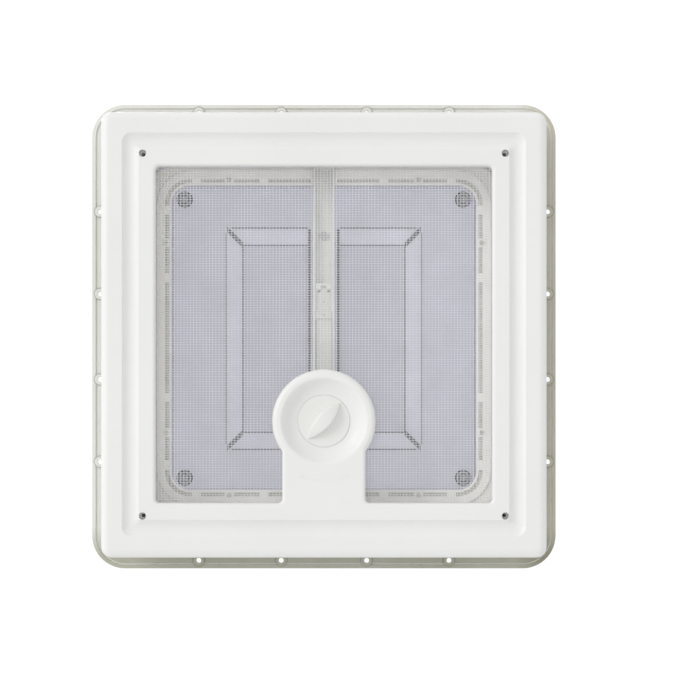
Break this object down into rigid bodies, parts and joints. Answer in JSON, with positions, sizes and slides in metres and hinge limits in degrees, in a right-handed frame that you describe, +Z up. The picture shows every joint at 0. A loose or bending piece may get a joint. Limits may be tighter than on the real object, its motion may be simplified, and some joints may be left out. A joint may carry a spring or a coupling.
{
  "type": "roof vent cover",
  "caption": "Square caravan roof vent cover: roof flange with collar, hinged smoke lid raised by a twist knob and lift arm, flyscreen and white inner trim.",
  "frame": {"origin": "centre of the roof cut-out, on the roof's outer skin (the face the flange seats on)", "axes": "+Z up and out of the roof, +Y towards the lid hinge and the knob, +X to the right seen from above with +Y up the page"},
  "size_m": [0.45, 0.45, 0.0889],
  "materials": {
    "asa_white": "fine moulded satin",
    "seal_grey": "matt grey rubber",
    "rail_white": "satin moulding",
    "screw_grey": "plastic-capped screws",
    "garnish_white": "smooth satin-gloss moulding",
    "flyscreen": "woven light grey mesh",
    "retainer_grey": "satin",
    "zinc_steel": "zinc plated",
    "gearbox_plastic": "satin moulding",
    "bright_steel": "turned",
    "knob_white": "smooth satin-gloss moulding",
    "gear_brass": "machined",
    "arm_plastic": "glass-filled nylon",
    "shoe_plastic": "low-friction plastic",
    "lid_smoke": "smoke translucent acrylic",
    "frame_beige": "satin moulding",
    "plug_grey": "pale smoke plastic"
  },
  "bodies": {
    "base": {"roof_flange": "asa_white", "weather_seal": "seal_grey", "inner_garnish": "garnish_white", "flyscreen_mesh": "flyscreen", "screen_retainer": "retainer_grey", "operator_bracket": "zinc_steel", "bracket_screws": "zinc_steel", "gearbox_base": "gearbox_plastic", "gearbox_cover": "gearbox_plastic", "gearbox_screws": "zinc_steel", "cover_screws": "zinc_steel", "wheel_axle": "bright_steel", "hinge_pins": "bright_steel"},
    "knob_unit": {"knob": "knob_white", "worm_shaft": "bright_steel", "shaft_clip": "bright_steel"},
    "arm_unit": {"worm_wheel": "gear_brass", "lift_arm": "arm_plastic", "arm_rivets": "bright_steel"},
    "shoe_unit": {"slider_shoe": "shoe_plastic", "shoe_pin": "bright_steel"},
    "lid": {"lid_dome": "lid_smoke", "lid_frame": "frame_beige", "lid_frame_screws": "zinc_steel", "lid_rail": "rail_white", "rail_screws": "screw_grey", "corner_plugs": "plug_grey", "hinge_leaves": "frame_beige", "hinge_screws": "zinc_steel"}
  },
  "joints": [
    {"name": "lid_hinge", "type": "hinge", "parent": "base", "child": "lid", "pos_m": [0, 0.185, 0.015], "axis": [-1, 0, 0], "range_deg": [0, 45]},
    {"name": "knob_spin", "type": "hinge", "parent": "base", "child": "knob_unit", "pos_m": [0, 0.0818, 0], "axis": [0, 0, 1], "range_deg": [0, 1620]},
    {"name": "arm_pivot", "type": "hinge", "parent": "base", "child": "arm_unit", "pos_m": [0, 0.0678, 0.015], "axis": [-1, 0, 0], "range_deg": [0, 90]},
    {"name": "shoe_pivot", "type": "hinge", "parent": "arm_unit", "child": "shoe_unit", "pos_m": [0, -0.0494, 0.015], "axis": [-1, 0, 0], "range_deg": [-45, 0]}
  ],
  "couplings": [
    {"joint": "knob_spin", "follows": "lid_hinge", "ratio": 36},
    {"joint": "arm_pivot", "follows": "lid_hinge", "ratio": 2},
    {"joint": "shoe_pivot", "follows": "lid_hinge", "ratio": -1}
  ]
}
